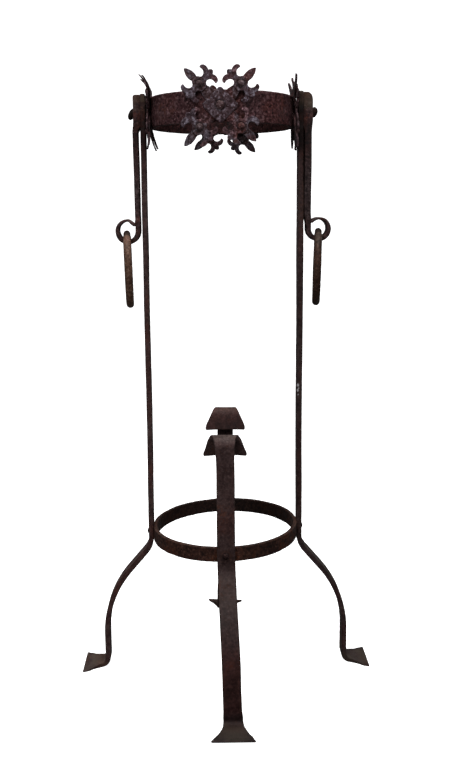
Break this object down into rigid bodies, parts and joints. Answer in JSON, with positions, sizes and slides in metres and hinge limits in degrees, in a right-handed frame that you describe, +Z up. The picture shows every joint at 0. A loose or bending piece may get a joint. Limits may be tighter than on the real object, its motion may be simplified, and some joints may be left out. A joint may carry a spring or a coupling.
{
  "type": "four-legged fire bowl stand",
  "caption": "Tall wrought-iron stand: upper band and lower ring on four strap legs, riveted fleur ornaments, bolted hangers with carrying rings.",
  "frame": {"origin": "on the floor, under the common centre of the upper band and the lower ring", "axes": "+Z up along the centre line of both hoops; +X towards the right tall leg; the front short leg stands on -Y"},
  "size_m": [0.522, 0.522, 1.0587],
  "materials": {
    "band_iron": "dull oxidised iron with thin brown rust",
    "ring_iron": "dull oxidised iron with orange-brown rust",
    "leg_iron": "dull forge scale, rubbed lighter at the feet and curled tops",
    "hanger_iron": "dull forge scale",
    "carry_ring_iron": "dull brown rust, rubbed by handling",
    "bolt_iron": "dark rust",
    "rivet_iron": "dull iron, some heads rusty",
    "ornament_iron": "dull grey-brown iron with rust in the joints"
  },
  "bodies": {
    "stand": {"collar_left": "bolt_iron", "collar_right": "bolt_iron", "leg_back": "leg_iron", "leg_front": "leg_iron", "leg_left": "leg_iron", "leg_right": "leg_iron", "lower_ring": "ring_iron", "ornament_back_boss": "rivet_iron", "ornament_back_diamond": "ornament_iron", "ornament_back_fleur_a": "ornament_iron", "ornament_back_fleur_b": "ornament_iron", "ornament_back_fleur_c": "ornament_iron", "ornament_back_fleur_d": "ornament_iron", "ornament_back_saltire": "ornament_iron", "ornament_back_stud_a": "rivet_iron", "ornament_back_stud_b": "rivet_iron", "ornament_back_stud_c": "rivet_iron", "ornament_back_stud_d": "rivet_iron", "ornament_front_boss": "rivet_iron", "ornament_front_diamond": "ornament_iron", "ornament_front_fleur_a": "ornament_iron", "ornament_front_fleur_b": "ornament_iron", "ornament_front_fleur_c": "ornament_iron", "ornament_front_fleur_d": "ornament_iron", "ornament_front_saltire": "ornament_iron", "ornament_front_stud_a": "rivet_iron", "ornament_front_stud_b": "rivet_iron", "ornament_front_stud_c": "rivet_iron", "ornament_front_stud_d": "rivet_iron", "ornament_left_diamond": "ornament_iron", "ornament_left_fleur_a": "ornament_iron", "ornament_left_fleur_b": "ornament_iron", "ornament_left_fleur_c": "ornament_iron", "ornament_left_fleur_d": "ornament_iron", "ornament_left_saltire": "ornament_iron", "ornament_left_stud_a": "rivet_iron", "ornament_left_stud_b": "rivet_iron", "ornament_left_stud_c": "rivet_iron", "ornament_left_stud_d": "rivet_iron", "ornament_right_diamond": "ornament_iron", "ornament_right_fleur_a": "ornament_iron", "ornament_right_fleur_b": "ornament_iron", "ornament_right_fleur_c": "ornament_iron", "ornament_right_fleur_d": "ornament_iron", "ornament_right_saltire": "ornament_iron", "ornament_right_stud_a": "rivet_iron", "ornament_right_stud_b": "rivet_iron", "ornament_right_stud_c": "rivet_iron", "ornament_right_stud_d": "rivet_iron", "pivot_bolt_left": "bolt_iron", "pivot_bolt_right": "bolt_iron", "ring_rivet_back": "rivet_iron", "ring_rivet_front": "rivet_iron", "ring_rivet_left": "rivet_iron", "ring_rivet_right": "rivet_iron", "upper_band": "band_iron"},
    "hanger_left": {"hanger_left": "hanger_iron"},
    "hanger_right": {"hanger_right": "hanger_iron"},
    "carry_ring_left": {"carry_ring_left": "carry_ring_iron"},
    "carry_ring_right": {"carry_ring_right": "carry_ring_iron"}
  },
  "joints": [
    {"name": "hanger_left_swing", "type": "hinge", "parent": "stand", "child": "hanger_left", "pos_m": [-0.1386, 0, 0.997], "axis": [1, 0, 0], "range_deg": [-40, 40]},
    {"name": "hanger_right_swing", "type": "hinge", "parent": "stand", "child": "hanger_right", "pos_m": [0.1386, 0, 0.997], "axis": [1, 0, 0], "range_deg": [-40, 40]},
    {"name": "carry_ring_left_lift", "type": "hinge", "parent": "hanger_left", "child": "carry_ring_left", "pos_m": [-0.1666, 0, 0.79435], "axis": [-0.0767, 0.9971, 0], "range_deg": [-5, 170]},
    {"name": "carry_ring_right_lift", "type": "hinge", "parent": "hanger_right", "child": "carry_ring_right", "pos_m": [0.1666, 0, 0.79435], "axis": [-0.1149, -0.9934, 0], "range_deg": [-5, 170]}
  ]
}
